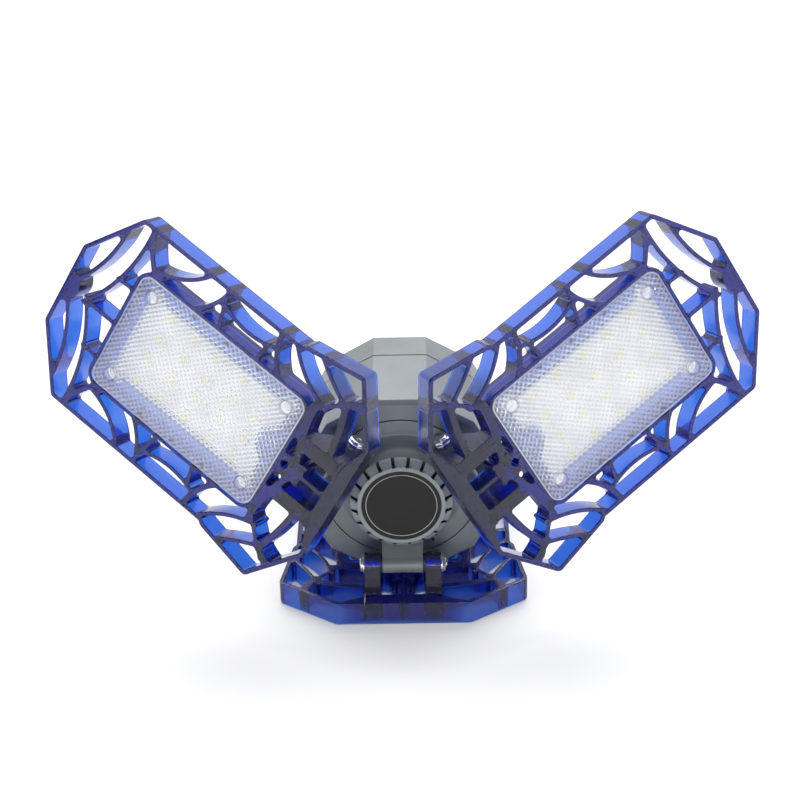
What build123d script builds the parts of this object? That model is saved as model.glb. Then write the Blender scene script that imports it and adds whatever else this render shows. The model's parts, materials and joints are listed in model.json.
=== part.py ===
from build123d import *

import os
from math import cos, degrees, pi, radians, sin, sqrt

# A screw-in lamp whose round head carries three lit leaves on friction hinges.
# It stands on one leaf folded back flat, with the other two spread upwards.
# Millimetres. X is to the right, Y runs back along the lamp's axis, Z is up.
# The origin is on the surface it stands on, below the standing leaf's hinge.

# Where each leaf points from the lamp's axis, and how far it is folded back.
# The standing leaf lies flat against the head, a quarter turn from facing ahead.
leaf_angle = {"left": 150.0, "right": 30.0, "standing": -90.0}
leaf_fold = {"left": 29.9, "right": 27.4, "standing": degrees(pi / 2)}

# Hinges
hinge_radius = 32.7
hinge_setback = 3.0
knuckle_width = 18.6
knuckle_radius = 4.5
knuckle_under_cap = 2.6
knuckle_heel = 0.8
knuckle_tangent = 110.0
washer_room = 1.0
washer_play = 0.1
washer_radius = 4.4
ear_width = 7.2
ear_radius = 5.2
ear_foot_inner = 6.0
ear_foot_outer = 13.0
bolt_radius = 2.0
bolt_play = 0.05
bolt_head_radius = 3.7
bolt_head_height = 2.2
socket_radius = 1.3
socket_depth = 1.2
nut_across_flats = 7.0
nut_height = 2.2
flange_radius = 4.5
flange_height = 0.8
bolt_end = 0.6

# Head: label, cap and bell-shaped cover
label_radius = 18.0
label_thickness = 0.6
label_sunk = 0.2
label_gap = 0.1
cap_radius = 23.2
cap_depth = 4.5
cap_bevel = 3.2
cap_plate = 2.4
cap_spigot = 2.5
slot_count = 20
slot_width = 1.4
slot_inner_radius = 20.0
slot_depth = 4.0
bell_mouth_radius = 22.2
bell_root_radius = 28.5
bell_hollow = 1.6
cover_radius = 35.6
cover_plate = 1.8
seam_gap = 0.3

# Housings
flat_count = 12
housing_apothem = 45.5
housing_front = 15.4
housing_length = 43.8
housing_bevel = 1.9
rear_length = 19.3
rear_bevel = 1.4
housing_wall = 2.2
cover_ledge = 2.6
ledge_height = 2.2
joint_groove = 0.4
lip_length = 4.6
lip_wall = 1.6
lip_gap = 0.2
rear_wall = 3.0
boss_base_radius = 22.0
boss_top_radius = 18.5
boss_height = 12.0
boss_bore = 14.0

# Screw base
collar_flange = 3.0
collar_radius = 17.5
collar_spigot_length = 8.0
collar_bore = 9.0
base_gap = 0.1
rim_radius = 13.2
rim_length = 4.0
thread_crest = 13.1
thread_root = 12.2
thread_pitch = 3.62
thread_turns = 5
shell_bore = 11.6
shell_rim_wall = 0.6
shell_end_radius = 9.0
shell_end_length = 2.6
insulator_height = 3.0
insulator_tip_radius = 5.6
contact_radius = 4.6
contact_height = 1.6
lead_radius = 0.8

# Bolts that clamp the cover, the housings and the rear together
clamp_radius = 27.5
clamp_shank = 1.95
clamp_head_radius = 3.5
clamp_head_height = 2.8
clamp_boss_radius = 4.0
clamp_boss_length = 10.0
clamp_engagement = 7.0

# Driver inside the housing
driver_radius = 38.0
driver_thickness = 1.6
driver_ahead = 5.2
driver_screw_radius = 34.5
driver_boss_radius = 3.2
driver_screw_shank = 1.4
driver_screw_head = 2.6
driver_screw_head_height = 1.6
driver_screw_grip = 5.0

# Components on the driver board: where each stands, then its length, width and height
transformer_at = (-9.0, -8.0)
transformer_core = (24.0, 16.0, 17.0)
transformer_winding = (15.0, 22.0, 12.0)
capacitor_at = [(14.0, -14.0), (24.0, 3.0)]
capacitor_radius = 6.3
capacitor_height = 22.0
capacitor_edge = 0.8
choke_at = (0.0, 17.0)
choke_radius = 4.6
choke_thickness = 2.4
choke_sunk = 0.3
film_at = (-24.5, 8.5)
film_size = (6.0, 13.0, 12.0)
rectifier_at = (11.0, 8.0)
rectifier_size = (13.0, 3.6, 11.0)
fuse_at = (-17.0, 20.0)
fuse_radius = 2.4
fuse_length = 13.0
fuse_clip = (2.2, 5.0, 2.6)
terminal_at = (0.0, -26.0)
terminal_size = (18.0, 7.0, 8.0)
terminal_pitch = 6.0
terminal_well = 1.6

# Leaf outline, measured out from its hinge axis and across from its midline
fold_gap = 0.5
leaf_depth = 11.6
leaf_tip = 150.0
leaf_inner = 13.4
leaf_half = 51.0
inner_half = 31.0
shoulder_half = 58.0
shoulder_reach = 5.0
shoulder_taper = 5.4
shoulder_end = 34.8
shoulder_step = 2.0
corner_setback = 20.5
tip_half = 21.3
outline_round = 3.0

# Leaf lattice
rim_wall = 2.2
rib = 2.0
stout_rib = 2.6
root_rib = 3.2
spine_rib = 2.2
cell_round = 1.3
inner_bar = 7.5
inner_bar_half = 18.0
tip_pad_radius = 8.4
lead_pad_radius = 5.4
lead_pad_ahead = 4.6
lead_hole_radius = 1.8

# Lens and the pocket that it closes
lens_start = 20.6
lens_length = 97.0
lens_width = 60.4
lens_round = 5.5
lens_gap = 0.3
lens_wall = 1.6
lens_sunk = 0.4
lens_plate = 1.8
lens_skirt = 1.3
lens_ledge = 2.2
ledge_drop = 4.3

# Light board, its chips and screws, and the cooling fins behind
web = 1.8
fin_depth = 2.0
fin_width = 1.6
fin_pitch = 8.0
fin_rows = 7
board_overhang = 1.5
board_waist = 0.7
board_tab_radius = 3.7
board_bay_radius = 9.0
board_bay_setback = 2.0
board_thickness = 1.5
chip_columns = 5
chip_rows = 4
chip_margin_along = 19.5
chip_margin_across = 12.95
chip_length = 4.2
chip_width = 3.6
chip_height = 0.8
board_screw_inset_along = 8.5
board_screw_inset_across = 8.2
board_screw_shank = 1.2
board_screw_play = 0.05
board_screw_head = 2.4
board_screw_head_height = 1.2
board_boss_radius = 3.2
channel_width = 3.0
channel_height = 2.4

# Grommets for the leads between the head and each leaf
grommet_flange_radius = 3.2
grommet_flange = 1.0
grommet_sleeve_radius = 1.7
grommet_sleeve = 2.6
grommet_hole = 1.0
grommet_gap = 0.3
exit_radial = 27.6
exit_lateral = 14.0
exit_hole_radius = 1.8
exit_flange_radius = 2.3

# Heights that follow from the sizes above
leaf_back = housing_apothem + fold_gap - hinge_radius
leaf_face = leaf_back + leaf_depth
axis_height = hinge_radius + leaf_face
pocket_floor = leaf_back + fin_depth + web
pocket_ledge = leaf_face - ledge_drop
board_top = pocket_floor + board_thickness
lens_top = leaf_face - lens_sunk
lens_middle = lens_start + lens_length / 2
chip_pitch_along = (lens_length - 2 * chip_margin_along) / (chip_columns - 1)
chip_pitch_across = (lens_width - 2 * chip_margin_across) / (chip_rows - 1)
board_screw_along = lens_length / 2 - board_screw_inset_along
board_screw_across = lens_width / 2 - board_screw_inset_across
board_length = 2 * (board_screw_along + board_overhang)
board_width = 2 * (board_screw_across - board_waist)
lead_at = lens_start - lead_pad_ahead
lead_channel = lead_pad_ahead + lens_ledge + 1
lens_end = lens_start + lens_length
ear_inner = knuckle_width / 2 + washer_room
ear_outer = ear_inner + ear_width
ear_middle = ear_inner + ear_width / 2
housing_back = housing_front + housing_length
rear_back = housing_back + rear_length
boss_back = rear_back + boss_height
collar_back = boss_back + collar_flange
driver_back = housing_back - driver_ahead + driver_thickness
driver_front = driver_back - driver_thickness
driver_screw_end = driver_back + driver_screw_grip
cover_back = housing_front + cover_plate
clamp_boss_end = cover_back + clamp_boss_length
clamp_tip = clamp_boss_end - clamp_engagement
clamp_seat = rear_back - clamp_head_height
shell_side_lead = collar_bore - lead_radius - base_gap
rear_inside = rear_back - rear_wall
thread_start = collar_back + rim_length
thread_end = thread_start + thread_turns * thread_pitch
shell_end = thread_end + shell_end_length
insulator_end = shell_end + insulator_height
contact_end = insulator_end + contact_height

base = (Align.CENTER, Align.CENTER, Align.MIN)
head_place = Plane(origin=(0, 0, axis_height), x_dir=(1, 0, 0), z_dir=(0, -1, 0)).location


def behind(depth):
    """Height in the head's own frame of a plane this far behind the label."""
    return hinge_setback - depth


def turned(points):
    """A solid of revolution from pairs of radius and depth behind the label."""
    corners = [(radius, 0, behind(depth)) for radius, depth in points]
    return revolve(make_face(Polyline(*corners, close=True)), Axis.Z)


def rod(radius, front, back, x=0.0, y=0.0):
    """A round bar along the lamp's axis between two depths behind the label."""
    bar = Cylinder(radius, back - front, align=(Align.CENTER, Align.CENTER, Align.MAX))
    return Pos(x, y, behind(front)) * bar


def peg(radius, bottom, height, along=0.0):
    """A round bar square to a leaf's lit face, in the leaf's own frame."""
    return Pos(along, 0, bottom) * Cylinder(radius, height, align=base)


def cross_rod(radius, length, middle=0.0):
    """A round bar along a hinge's axis."""
    return Pos(0, middle, 0) * Rot(90, 0, 0) * Cylinder(radius, length)


def flats(apothem, front, back):
    """A prism with the housing's flats between two depths behind the label."""
    sides = RegularPolygon(apothem, flat_count, major_radius=False, rotation=180 / flat_count)
    prism = extrude(sides, back - front)
    return Pos(0, 0, behind(back)) * prism


def around_head(angles, shape):
    """The shape, made for a leaf at angle zero, repeated at each angle."""
    return [Rot(0, 0, angle) * shape for angle in angles]


def between_leaves():
    return [angle + 180 for angle in leaf_angle.values()]


# Head


def label_disc():
    return rod(label_radius, label_sunk, label_sunk + label_thickness)


def front_cap():
    inner = bell_mouth_radius - bell_hollow - seam_gap
    recess = label_sunk + label_thickness
    label_room = label_radius + label_gap
    body = turned(
        [
            (0, recess),
            (label_room, recess),
            (label_room, 0),
            (cap_radius - cap_bevel, 0),
            (cap_radius, cap_bevel),
            (cap_radius, cap_depth),
            (inner, cap_depth),
            (inner, cap_depth + cap_spigot),
            (inner - bell_hollow, cap_depth + cap_spigot),
            (inner - bell_hollow, cap_plate + recess),
            (0, cap_plate + recess),
        ]
    )
    reach = cap_radius - slot_inner_radius + 1
    slot = Pos(slot_inner_radius + reach / 2, 0, behind((slot_depth - 1) / 2))
    slot *= Box(reach, slot_width, slot_depth + 1)
    step = 360 / slot_count
    cuts = around_head([90 + step * (index + 0.5) for index in range(slot_count)], slot)
    return body - cuts


def bell_solid(shrink, front, back, root_radius, mouth_radius):
    """The flared neck as a solid of revolution, drawn in by a wall for its hollow."""
    mouth = (mouth_radius - shrink, 0, behind(front))
    root = (root_radius - shrink, 0, behind(back))
    waist = mouth_radius + (root_radius - mouth_radius) * 0.22 - shrink
    middle = (waist, 0, behind(front + (back - front) * 0.55))
    flare = ThreePointArc(mouth, middle, root)
    rest = Polyline(root, (0, 0, behind(back)), (0, 0, behind(front)), mouth)
    return revolve(make_face([flare, rest]), Axis.Z)


def knuckle():
    """One hinge knuckle on the cover, for a leaf at angle zero."""
    eye = Pos(hinge_radius, 0) * Circle(knuckle_radius)
    upper_tangent = radians(knuckle_tangent)
    foot = behind(housing_front)
    inner = bell_mouth_radius
    tangent = Vector(cos(upper_tangent), sin(upper_tangent)) * knuckle_radius
    web_face = Polygon(
        (inner, behind(cap_depth + knuckle_under_cap)),
        (hinge_radius + tangent.X, tangent.Y),
        (hinge_radius + knuckle_radius, 0),
        (hinge_radius + knuckle_heel, foot),
        (inner, foot),
        align=None,
    )
    side = eye + web_face
    lug = extrude(side, knuckle_width / 2, both=True)
    return Rot(90, 0, 0) * lug


def bell_cover():
    neck = bell_solid(0, cap_depth, housing_front, bell_root_radius, bell_mouth_radius)
    plate = rod(cover_radius, housing_front, cover_back)
    boss = rod(clamp_boss_radius, housing_front, clamp_boss_end, clamp_radius)
    bosses = around_head(between_leaves(), boss)
    body = neck + plate + bosses
    body += around_head(leaf_angle.values(), knuckle())
    hollow = bell_solid(bell_hollow, cap_depth, housing_front, bell_root_radius, bell_mouth_radius)
    mouth = rod(bell_root_radius - bell_hollow, housing_front, cover_back)
    body -= hollow + (mouth - bosses)
    eye = Pos(hinge_radius, 0, 0) * cross_rod(bolt_radius + bolt_play, knuckle_width + 2)
    body -= around_head(leaf_angle.values(), eye)
    tapping = rod(clamp_shank + bolt_play, clamp_tip - 1, clamp_boss_end + 1, clamp_radius)
    body -= around_head(between_leaves(), tapping)
    exit_hole = rod(exit_hole_radius, housing_front - 1, cover_back + 1, exit_radial, exit_lateral)
    return body - around_head(leaf_angle.values(), exit_hole)


def exit_grommets():
    sleeve_end = cover_back + grommet_flange
    one = rod(exit_flange_radius, housing_front - grommet_flange, housing_front, exit_radial, exit_lateral)
    one += rod(exit_hole_radius - bolt_play, housing_front, sleeve_end, exit_radial, exit_lateral)
    one -= rod(grommet_hole, housing_front - 2 * grommet_flange, sleeve_end + 1, exit_radial, exit_lateral)
    return Compound(children=around_head(leaf_angle.values(), one))


# Housings

def main_housing():
    body = flats(housing_apothem, housing_front, housing_back)
    body = chamfer(body.faces().sort_by(Axis.Z)[-1].edges(), housing_bevel)
    ceiling = cover_back + ledge_height
    body -= flats(housing_apothem - housing_wall, ceiling, housing_back + 1)
    body -= rod(cover_radius + seam_gap, housing_front - 1, cover_back)
    return body - rod(cover_radius - cover_ledge, housing_front, ceiling + 1)


def rear_housing():
    front = housing_back + joint_groove
    body = flats(housing_apothem, front, rear_back)
    body = chamfer(body.faces().sort_by(Axis.Z)[0].edges(), rear_bevel)
    lip = housing_apothem - housing_wall - lip_gap
    body += flats(lip, housing_back - lip_length, front + 1)
    body += turned(
        [(0, rear_back - 1), (boss_base_radius, rear_back - 1), (boss_base_radius, rear_back)]
        + [(boss_top_radius, boss_back), (0, boss_back)]
    )
    body -= flats(lip - lip_wall, housing_back - lip_length - 1, rear_inside)
    body -= rod(boss_bore, rear_inside - 1, boss_back + 1)
    boss = rod(driver_boss_radius, driver_back, rear_inside, driver_screw_radius)
    tapping_radius = driver_screw_shank + bolt_play
    tapping = rod(tapping_radius, driver_back - 1, driver_screw_end + 1, driver_screw_radius)
    body += around_head(leaf_angle.values(), boss)
    body -= around_head(leaf_angle.values(), tapping)
    sleeve = rod(clamp_boss_radius, driver_back + 1, rear_inside, clamp_radius)
    body += around_head(between_leaves(), sleeve)
    passage = rod(clamp_shank + bolt_play, driver_back, rear_back + 1, clamp_radius)
    passage += rod(clamp_head_radius + seam_gap, clamp_seat, rear_back + 1, clamp_radius)
    return body - around_head(between_leaves(), passage)


def housing_bolts():
    one = rod(clamp_shank, clamp_tip, clamp_seat, clamp_radius)
    one += rod(clamp_head_radius, clamp_seat, rear_back - 0.2, clamp_radius)
    one -= rod(socket_radius, rear_back - 0.2 - socket_depth, rear_back, clamp_radius)
    return Compound(children=around_head(between_leaves(), one))


# Screw base


def base_collar():
    spigot = boss_bore - base_gap
    shoulder = rim_radius - shell_rim_wall - base_gap
    nose = shell_bore - base_gap
    return turned(
        [
            (collar_bore, boss_back - collar_spigot_length),
            (spigot, boss_back - collar_spigot_length),
            (spigot, boss_back),
            (collar_radius, boss_back),
            (collar_radius, collar_back - 1),
            (collar_radius - 1, collar_back),
            (shoulder, collar_back),
            (shoulder, thread_start - 0.6),
            (nose, thread_start - 0.6),
            (nose, thread_start + thread_pitch),
            (collar_bore, thread_start + thread_pitch),
        ]
    )


def screw_shell():
    outside = [(rim_radius, collar_back), (rim_radius, thread_start - 0.4)]
    for turn in range(thread_turns):
        start = thread_start + turn * thread_pitch
        outside += [(thread_root, start + 0.1 * thread_pitch), (thread_root, start + 0.25 * thread_pitch)]
        outside += [(thread_crest, start + 0.5 * thread_pitch), (thread_crest, start + 0.75 * thread_pitch)]
    outside += [(thread_root, thread_end), (shell_end_radius, shell_end)]
    wall = shell_rim_wall
    inside = [
        (shell_end_radius - wall, shell_end),
        (shell_end_radius - wall, shell_end - wall),
        (shell_bore, thread_end),
        (shell_bore, thread_start - 0.6),
        (rim_radius - wall, thread_start - 0.6),
        (rim_radius - wall, collar_back),
    ]
    return turned(outside + inside)


def contact_insulator():
    plug = shell_end_radius - shell_rim_wall - base_gap
    return turned(
        [
            (lead_radius + base_gap, thread_end - 1),
            (plug, thread_end - 1),
            (plug, shell_end),
            (shell_end_radius, shell_end),
            (insulator_tip_radius, insulator_end),
            (lead_radius + base_gap, insulator_end),
        ]
    )


def centre_contact():
    return turned(
        [
            (0, insulator_end),
            (contact_radius, insulator_end),
            (contact_radius, insulator_end + contact_height * 0.5),
            (contact_radius * 0.6, contact_end),
            (0, contact_end),
        ]
    )


def base_leads():
    live = rod(lead_radius, driver_back, insulator_end)
    neutral = rod(lead_radius, driver_back, thread_start + thread_pitch, shell_side_lead)
    return Compound(children=[live, neutral])


# Driver

def driver_board():
    board = rod(driver_radius, driver_front, driver_back)
    passage = rod(clamp_shank + 1, driver_front - 1, driver_back + 1, clamp_radius)
    board -= around_head(between_leaves(), passage)
    screw_hole = rod(driver_screw_shank + bolt_play, driver_front - 1, driver_back + 1, driver_screw_radius)
    return board - around_head(leaf_angle.values(), screw_hole)


def driver_screws():
    head_top = driver_front - driver_screw_head_height
    one = rod(driver_screw_shank, driver_front, driver_screw_end, driver_screw_radius)
    one += rod(driver_screw_head, head_top, driver_front, driver_screw_radius)
    return Compound(children=around_head(leaf_angle.values(), one))


def on_driver(at, shape):
    """The shape, made on its own base, standing on the front of the driver board."""
    return Pos(at[0], at[1], behind(driver_front)) * shape


def upright(size):
    return Box(*size, align=base)


def board_space():
    """The space of the board itself, which flattens what stands on it."""
    return rod(driver_radius, driver_front, driver_back)


def transformer():
    return on_driver(transformer_at, upright(transformer_core) + upright(transformer_winding))


def bulk_capacitors():
    can = Cylinder(capacitor_radius, capacitor_height, align=base)
    can = chamfer(can.faces().sort_by(Axis.Z)[-1].edges(), capacitor_edge)
    return Compound(children=[on_driver(at, can) for at in capacitor_at])


def line_choke():
    ring = Pos(0, 0, choke_thickness - choke_sunk) * Torus(choke_radius, choke_thickness)
    return on_driver(choke_at, ring) - board_space()


def film_capacitor():
    return on_driver(film_at, upright(film_size))


def bridge_rectifier():
    return on_driver(rectifier_at, upright(rectifier_size))


def line_fuse():
    tube = Pos(0, 0, fuse_radius) * Rot(0, 90, 0) * Cylinder(fuse_radius, fuse_length)
    reach = (fuse_length - fuse_clip[0]) / 2
    clips = [Pos(side * reach, 0) * upright(fuse_clip) for side in (-1, 1)]
    return on_driver(fuse_at, tube + clips)


def terminal_block():
    well = Pos(0, 0, terminal_size[2] / 2) * Cylinder(terminal_well, terminal_size[2], align=base)
    wells = [Pos(side * terminal_pitch, 0) * well for side in (-1, 0, 1)]
    return on_driver(terminal_at, upright(terminal_size) - wells)


# Leaf, drawn in its own plane: x out from the hinge, y across, z towards the lit face


def root_point(along, across):
    """A point between the leaf's inner end and its lens, as shares of that field."""
    return (-leaf_inner + along * (lens_start + leaf_inner), across * shoulder_half)


def side_point(along, across):
    """A point beside the lens, as shares of the lens's length and the side band."""
    half = lens_width / 2
    return (lens_start + along * lens_length, half + across * (leaf_half - half))


def end_point(along, across):
    """A point beyond the lens, as shares of the field out to the tip."""
    return (lens_end + along * (leaf_tip - lens_end), across * leaf_half)


# Each rib is an arc through three points, on one half of the leaf, with its width
half_ribs = [
    (root_point, (0.55, 0.70), (0.853, 0.791), (1.22, 0.936), rib),
    (root_point, (0.77, 0.58), (1.196, 0.683), (1.56, 0.872), rib),
    (root_point, (0.40, 0.24), (0.457, 0.483), (0.58, 0.724), root_rib),
    (root_point, (1.00, 0.47), (0.748, 0.624), (0.475, 0.786), rib),
    (root_point, (0.66, 0.70), (0.436, 0.752), (0.23, 0.80), rib),
    (root_point, (0.61, -0.07), (0.785, 0.155), (0.908, 0.569), root_rib),
    (root_point, (0.16, 0.26), (0.089, 0.371), (0.00, 0.51), root_rib),
    (side_point, (0.164, -0.03), (0.243, 0.40), (0.279, 1.02), stout_rib),
    (side_point, (0.257, 0.587), (0.416, 0.433), (0.579, 0.591), rib),
    (side_point, (0.328, -0.03), (0.318, 0.255), (0.304, 0.52), rib),
    (side_point, (0.546, -0.03), (0.576, 0.447), (0.604, 1.02), rib),
    (side_point, (0.731, -0.03), (0.654, 0.293), (0.598, 0.784), rib),
    (side_point, (0.963, 0.19), (0.813, 0.452), (0.694, 1.02), rib),
    (end_point, (-0.20, 0.60), (0.034, 0.784), (0.176, 1.01), stout_rib),
    (end_point, (0.61, -0.03), (0.29, 0.373), (0.167, 0.96), rib),
    (end_point, (-0.02, 0.386), (0.151, 0.38), (0.306, 0.375), rib),
    (end_point, (0.92, 0.04), (0.60, 0.431), (0.512, 0.92), rib),
]


def leaf_outline():
    taper_half = shoulder_half - shoulder_taper
    upper = [
        (-leaf_inner, inner_half),
        (shoulder_reach, shoulder_half),
        (shoulder_end, taper_half),
        (shoulder_end + shoulder_step, leaf_half),
        (leaf_tip - corner_setback, leaf_half),
        (leaf_tip, tip_half),
    ]
    lower = [(along, -across) for along, across in reversed(upper)]
    face = make_face(Polyline(*upper, *lower, close=True))
    step = (shoulder_end - 0.5, shoulder_end + shoulder_step + 0.5)
    corners = [point for point in face.vertices() if not step[0] < point.X < step[1]]
    return fillet(corners, outline_round)


def lens_field(grow, radius):
    """A rounded rectangle on the lens's middle, larger or smaller by grow all round."""
    return Pos(lens_middle, 0) * RectangleRounded(lens_length + 2 * grow, lens_width + 2 * grow, radius)


def lattice_ribs():
    ribs = []
    for field, start, middle, end, width in half_ribs:
        for side in (1, -1):
            points = [(x, side * y) for x, y in (field(*start), field(*middle), field(*end))]
            ribs.append(SlotArc(ThreePointArc(*points), width))
    return ribs


def lattice_cells(outline):
    """The openings that the rim, the lens frame and the ribs leave, corners rounded."""
    field = offset(outline, -rim_wall)
    field -= lens_field(lens_gap + lens_wall, lens_round + lens_gap + lens_wall)
    ear_reach = leaf_inner + ear_foot_outer + 2
    ear_bar = Pos(ear_foot_outer + 2 - ear_reach / 2, 0) * Rectangle(ear_reach, ear_width)
    ears = [Pos(0, side * ear_middle) * ear_bar for side in (1, -1)]
    bar = Pos(inner_bar / 2 - leaf_inner, 0) * Rectangle(inner_bar, 2 * inner_bar_half)
    inner_spine = Pos((lens_start - leaf_inner) / 2, 0) * Rectangle(lens_start + leaf_inner, spine_rib)
    reach = leaf_tip - lens_end
    outer_spine = Pos(lens_end + reach * 0.3, 0) * Rectangle(reach * 0.6, spine_rib)
    tip_pad = Pos(leaf_tip, 0) * Circle(tip_pad_radius)
    lead_pad = Pos(lead_at, 0) * Circle(lead_pad_radius)
    field -= [*ears, bar, inner_spine, outer_spine, tip_pad, lead_pad, *lattice_ribs()]
    return [part for cell in field.faces() if cell.area > 4 * cell_round**2 for part in rounded(cell)]


def rounded(cell):
    """The cell with its corners rounded, by less where a narrow neck would pinch it."""
    for share in (1, 0.6, 0.3):
        radius = cell_round * share
        try:
            shrunk = offset(cell, -radius, kind=Kind.ARC)
            return offset(shrunk, radius, kind=Kind.ARC).faces()
        except RuntimeError:
            continue
    return [cell]


def ear():
    """One hinge ear, from the eye round the bolt to its foot in the leaf's back."""
    foot = leaf_back + rim_wall
    eye = Circle(ear_radius)
    outer_tangent = (ear_radius * 0.8, -ear_radius * 0.6)
    side = Polygon(
        (-ear_radius, 0), (-ear_foot_inner, foot), (ear_foot_outer, foot), outer_tangent, align=None
    )
    plate = extrude(eye + side, ear_width / 2, both=True)
    return Rot(90, 0, 0) * plate


def leaf_frame():
    outline = leaf_outline()
    face = outline - lattice_cells(outline)
    body = Pos(0, 0, leaf_back) * extrude(face, leaf_depth)
    body += [Pos(0, side * ear_middle, 0) * ear() for side in (1, -1)]
    body -= cross_rod(bolt_radius + bolt_play, 2 * ear_outer + 2)
    seat = lens_field(lens_gap, lens_round + lens_gap)
    pocket = lens_field(lens_gap - lens_ledge, lens_round + lens_gap - lens_ledge)
    body -= Pos(0, 0, pocket_ledge) * extrude(seat, ledge_drop + 1)
    body -= Pos(0, 0, pocket_floor) * extrude(pocket, pocket_ledge - pocket_floor + 1)
    body -= cooling_channels() - at_board_screws(peg(board_boss_radius, leaf_back, fin_depth))
    body -= at_board_screws(peg(board_screw_shank + board_screw_play, leaf_back - 1, leaf_depth))
    body -= peg(lead_hole_radius, leaf_back - 1, leaf_depth + 2, lead_at)
    body -= peg(grommet_flange_radius + grommet_gap, leaf_back - 1, grommet_flange + 1, lead_at)
    channel = Box(lead_channel, channel_width, channel_height, align=base)
    return body - Pos(lead_at + lead_channel / 2, 0, board_top) * channel


def cooling_channels():
    """The channels cut in the leaf's back, which leave the fins between them."""
    width = fin_pitch - fin_width
    length = lens_length - 2 * lens_ledge
    cut = extrude(RectangleRounded(length, width, width / 2 - 0.01), fin_depth)
    start = -fin_pitch * (fin_rows - 1) / 2
    places = [Pos(lens_middle, start + row * fin_pitch, leaf_back) for row in range(fin_rows)]
    return Part() + [place * cut for place in places]


def at_board_screws(shape):
    """The shape, made on the leaf's hinge, repeated at the board's four screws."""
    ways = [(along, across) for along in (-1, 1) for across in (-1, 1)]
    places = [Pos(lens_middle + x * board_screw_along, y * board_screw_across) for x, y in ways]
    return [place * shape for place in places]


def led_board():
    """A narrow board with a tab round each screw, and a round bay where the leads come in."""
    outline = Rectangle(board_length, board_width)
    bay = Pos(-board_length / 2 - board_bay_setback, 0) * Circle(board_bay_radius)
    body = Pos(lens_middle, 0, pocket_floor) * extrude(outline - bay, board_thickness)
    body += at_board_screws(peg(board_tab_radius, pocket_floor, board_thickness))
    return body - at_board_screws(peg(board_screw_shank + board_screw_play, pocket_floor - 1, 5))


def led_chips():
    chips = []
    for column in range(chip_columns):
        for row in range(chip_rows):
            x = lens_middle + (column - (chip_columns - 1) / 2) * chip_pitch_along
            y = (row - (chip_rows - 1) / 2) * chip_pitch_across
            chips.append(Pos(x, y, board_top) * Box(chip_length, chip_width, chip_height, align=base))
    return Compound(children=chips)


def board_screws():
    one = peg(board_screw_shank, leaf_back, board_top - leaf_back)
    one += peg(board_screw_head, board_top, board_screw_head_height)
    drive = Box(2.4, 0.6, board_screw_head_height, align=base)
    one -= Pos(0, 0, board_top + board_screw_head_height / 2) * drive
    return Compound(children=at_board_screws(one))


def lens():
    height = lens_top - pocket_ledge
    body = Pos(0, 0, pocket_ledge) * extrude(lens_field(0, lens_round), height)
    edge = body.faces().sort_by(Axis.Z)[-1].edges()
    body = fillet(edge, lens_plate / 3)
    inside = lens_field(-lens_skirt, lens_round - lens_skirt)
    return body - Pos(0, 0, pocket_ledge - 1) * extrude(inside, height - lens_plate + 1)


def hinge_bolt():
    past_ear = nut_height + bolt_end
    shank = cross_rod(bolt_radius, 2 * ear_outer + past_ear, past_ear / 2)
    head = cross_rod(bolt_head_radius, bolt_head_height, -ear_outer - bolt_head_height / 2)
    head = fillet(head.edges().filter_by(GeomType.CIRCLE).sort_by(Axis.Y)[0], bolt_head_height * 0.4)
    socket = extrude(RegularPolygon(socket_radius, 6, major_radius=False), socket_depth)
    drive = Pos(0, -ear_outer - bolt_head_height + socket_depth, 0) * Rot(90, 0, 0) * socket
    flange = cross_rod(flange_radius, flange_height, -ear_outer - flange_height / 2)
    return shank + head + flange - drive


def hinge_nut():
    nut = extrude(RegularPolygon(nut_across_flats / 2, 6, major_radius=False), nut_height)
    corners = nut_across_flats / sqrt(3)
    crown = Cone(corners + nut_height * 1.4, corners - nut_height * 0.28, nut_height, align=base)
    nut = (nut & crown) + Cylinder(flange_radius, flange_height, align=base)
    nut -= Cylinder(bolt_radius + bolt_play, 4 * nut_height)
    return Pos(0, ear_outer, 0) * Rot(-90, 0, 0) * nut


def hinge_washers():
    thickness = washer_room - 2 * washer_play
    ring = Cylinder(washer_radius, thickness) - Cylinder(bolt_radius + bolt_play, 2 * thickness)
    middle = knuckle_width / 2 + washer_room / 2
    return Compound(children=[Pos(0, side * middle, 0) * Rot(90, 0, 0) * ring for side in (1, -1)])


def lead_grommet():
    body = peg(grommet_flange_radius, leaf_back, grommet_flange, lead_at)
    body += peg(grommet_sleeve_radius, leaf_back + grommet_flange, grommet_sleeve, lead_at)
    return body - peg(grommet_hole, leaf_back - 1, leaf_depth, lead_at)


def leaf_place(side):
    """Where one leaf's own plane lies: its hinge, and which way it is folded."""
    angle = radians(leaf_angle[side])
    fold = radians(leaf_fold[side])
    out = Vector(cos(angle), 0, sin(angle))
    ahead = Vector(0, -1, 0)
    hinge = Vector(0, 0, axis_height) + out * hinge_radius
    along = out * cos(fold) - ahead * sin(fold)
    lit = ahead * cos(fold) + out * sin(fold)
    return Plane(origin=hinge, x_dir=along, z_dir=lit).location


head_parts = {
    "label_disc": label_disc,
    "front_cap": front_cap,
    "bell_cover": bell_cover,
    "exit_grommets": exit_grommets,
    "main_housing": main_housing,
    "rear_housing": rear_housing,
    "housing_bolts": housing_bolts,
    "base_collar": base_collar,
    "screw_shell": screw_shell,
    "contact_insulator": contact_insulator,
    "centre_contact": centre_contact,
    "base_leads": base_leads,
    "driver_board": driver_board,
    "driver_screws": driver_screws,
    "transformer": transformer,
    "bulk_capacitors": bulk_capacitors,
    "line_choke": line_choke,
    "film_capacitor": film_capacitor,
    "bridge_rectifier": bridge_rectifier,
    "line_fuse": line_fuse,
    "terminal_block": terminal_block,
}

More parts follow.
